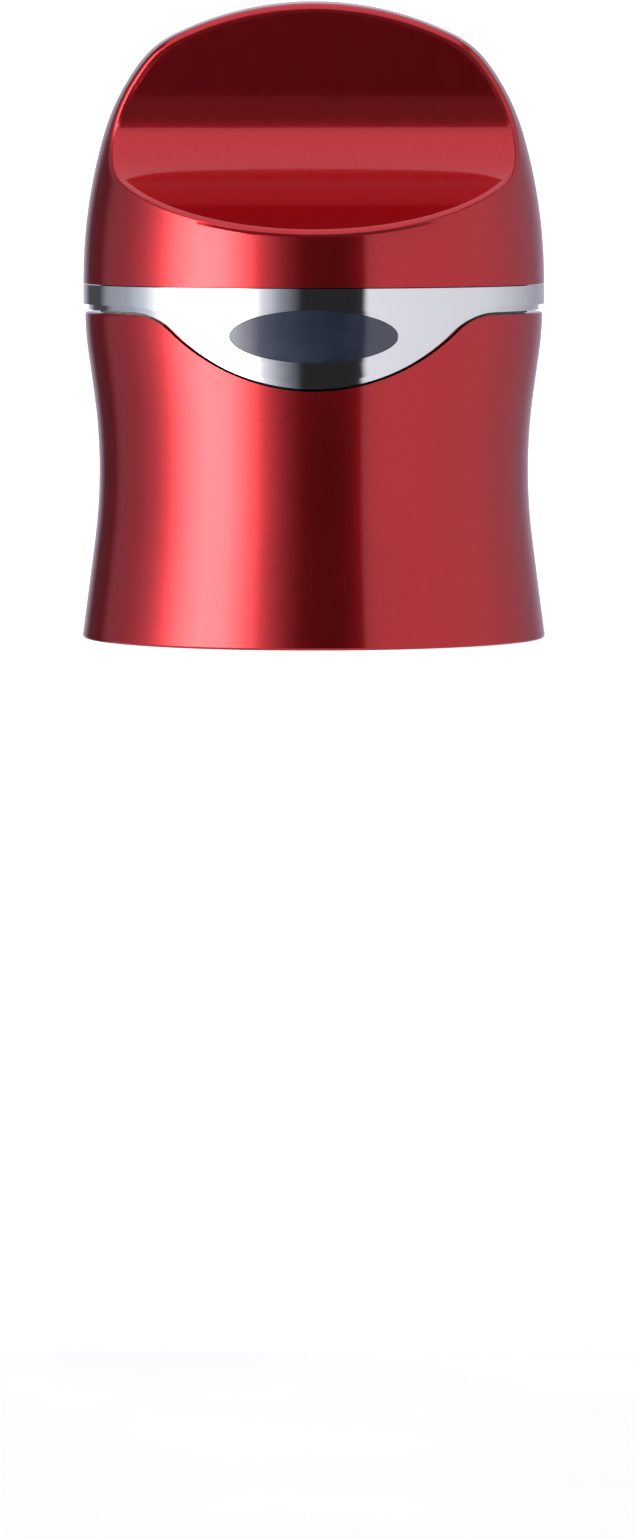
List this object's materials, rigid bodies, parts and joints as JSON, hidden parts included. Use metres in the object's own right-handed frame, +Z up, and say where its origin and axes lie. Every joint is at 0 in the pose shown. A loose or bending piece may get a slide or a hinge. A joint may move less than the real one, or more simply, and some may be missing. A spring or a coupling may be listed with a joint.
{
  "type": "sparkling-wine bottle sealer",
  "caption": "Twist-lock stopper for sparkling-wine bottles: a winged red knob on a chrome shield collar and a waisted skirt, with hooked jaws and a silicone seal inside.",
  "frame": {"origin": "centre of the skirt's bottom rim, on the bottle's axis", "axes": "+Z up along the bottle's axis; the shield and badge face -Y; the knob's fin lies along X"},
  "size_m": [0.0492, 0.0492, 0.0675],
  "materials": {
    "red_lacquer": "metallic candy lacquer",
    "chrome": "bright",
    "dark_badge": "gloss",
    "black_plastic": "fine texture",
    "acetal": "smooth",
    "steel": "stamped and tumbled",
    "rubber": "matt",
    "silicone": "satin"
  },
  "bodies": {
    "body": {"skirt_shell": "red_lacquer", "collar": "chrome", "badge_rim": "chrome", "badge_plate": "dark_badge", "base_ring": "black_plastic", "housing": "black_plastic", "thrust_ring": "acetal", "glide_washer": "steel", "base_screw_1": "steel", "base_screw_2": "steel", "base_screw_3": "steel", "collar_screw_1": "steel", "collar_screw_2": "steel", "collar_screw_3": "steel"},
    "knob": {"knob_shell": "red_lacquer", "knob_insert": "black_plastic", "drive_sleeve": "acetal", "cam_plate": "steel", "cam_screw_1": "steel", "cam_screw_2": "steel", "cam_screw_3": "steel", "shell_screw_1": "steel", "shell_screw_2": "steel", "shell_screw_3": "steel", "shell_screw_4": "steel"},
    "plunger": {"plunger": "black_plastic", "cross_pin": "steel", "seal": "silicone", "seal_washer": "steel", "seal_screw": "steel"},
    "jaw_1": {"jaw_1": "steel", "jaw_pin_1": "steel", "jaw_pad_1": "rubber"},
    "jaw_2": {"jaw_2": "steel", "jaw_pin_2": "steel", "jaw_pad_2": "rubber"},
    "jaw_3": {"jaw_3": "steel", "jaw_pin_3": "steel", "jaw_pad_3": "rubber"}
  },
  "joints": [
    {"name": "knob_turn", "type": "hinge", "parent": "body", "child": "knob", "pos_m": [0, 0, 0.0377], "axis": [0, 0, 1], "range_deg": [0, 90]},
    {"name": "jaw_1_slide", "type": "slide", "parent": "body", "child": "jaw_1", "axis": [0, 1, 0], "range_m": [0, 0.002]},
    {"name": "jaw_2_slide", "type": "slide", "parent": "body", "child": "jaw_2", "axis": [-0.866, -0.5, 0], "range_m": [0, 0.002]},
    {"name": "jaw_3_slide", "type": "slide", "parent": "body", "child": "jaw_3", "axis": [0.866, -0.5, 0], "range_m": [0, 0.002]},
    {"name": "plunger_slide", "type": "slide", "parent": "body", "child": "plunger", "axis": [0, 0, 1], "range_m": [0, 0.0025]}
  ],
  "couplings": [
    {"joint": "jaw_1_slide", "follows": "knob_turn", "m_per_rad": 0.0012732},
    {"joint": "jaw_2_slide", "follows": "knob_turn", "m_per_rad": 0.0012732},
    {"joint": "jaw_3_slide", "follows": "knob_turn", "m_per_rad": 0.0012732},
    {"joint": "plunger_slide", "follows": "knob_turn", "m_per_rad": 0.0015915}
  ]
}
